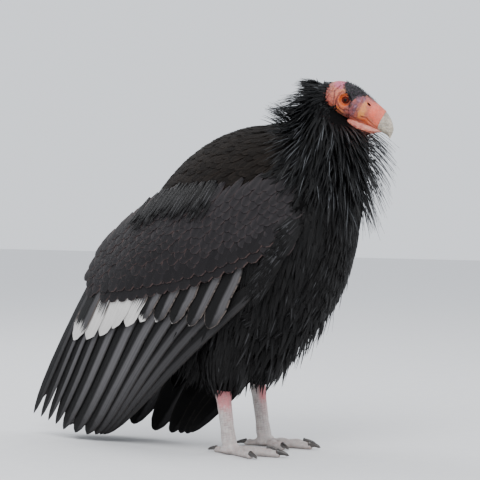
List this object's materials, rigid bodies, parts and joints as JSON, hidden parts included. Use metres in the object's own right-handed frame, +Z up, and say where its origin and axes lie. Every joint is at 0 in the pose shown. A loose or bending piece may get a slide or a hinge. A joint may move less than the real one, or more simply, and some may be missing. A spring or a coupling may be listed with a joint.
{
  "type": "california condor",
  "caption": "California condor standing at rest with folded wings, bare head, hooked bill and shaggy neck ruff, as a life-size still model.",
  "frame": {"origin": "the middle of the model's bounding box, on the floor that the feet stand on", "axes": "+X forward, the way the bird faces; +Y to the bird's left; +Z up"},
  "size_m": [0.8248, 0.3236, 0.7324],
  "materials": {
    "body_plumage": "soft black feathers with a faint brown edge",
    "ruff_plumage": "glossy black lance-shaped feathers",
    "wing_plumage": "dark grey and black flight feathers, with a white bar on the wing",
    "bare_skin": "bare orange-pink skin with folds",
    "bill_horn": "ivory horn, slightly glossy",
    "jaw_horn": "pinkish orange, smooth",
    "eye": "dark red iris under a clear, wet surface",
    "leg_skin": "pale grey scaly skin",
    "claw": "dark horn"
  },
  "bodies": {
    "root": {"torso": "body_plumage", "neck": "ruff_plumage", "head": "bare_skin", "bill_tip": "bill_horn", "jaw": "jaw_horn", "eye_right": "eye", "eye_left": "eye", "wing_right": "wing_plumage", "wing_left": "wing_plumage", "tail": "wing_plumage", "thigh_right": "body_plumage", "shank_right": "leg_skin", "foot_right": "leg_skin", "claw_inner_right": "claw", "claw_middle_right": "claw", "claw_outer_right": "claw", "claw_hind_right": "claw", "thigh_left": "body_plumage", "shank_left": "leg_skin", "foot_left": "leg_skin", "claw_inner_left": "claw", "claw_middle_left": "claw", "claw_outer_left": "claw", "claw_hind_left": "claw"}
  },
  "joints": []
}
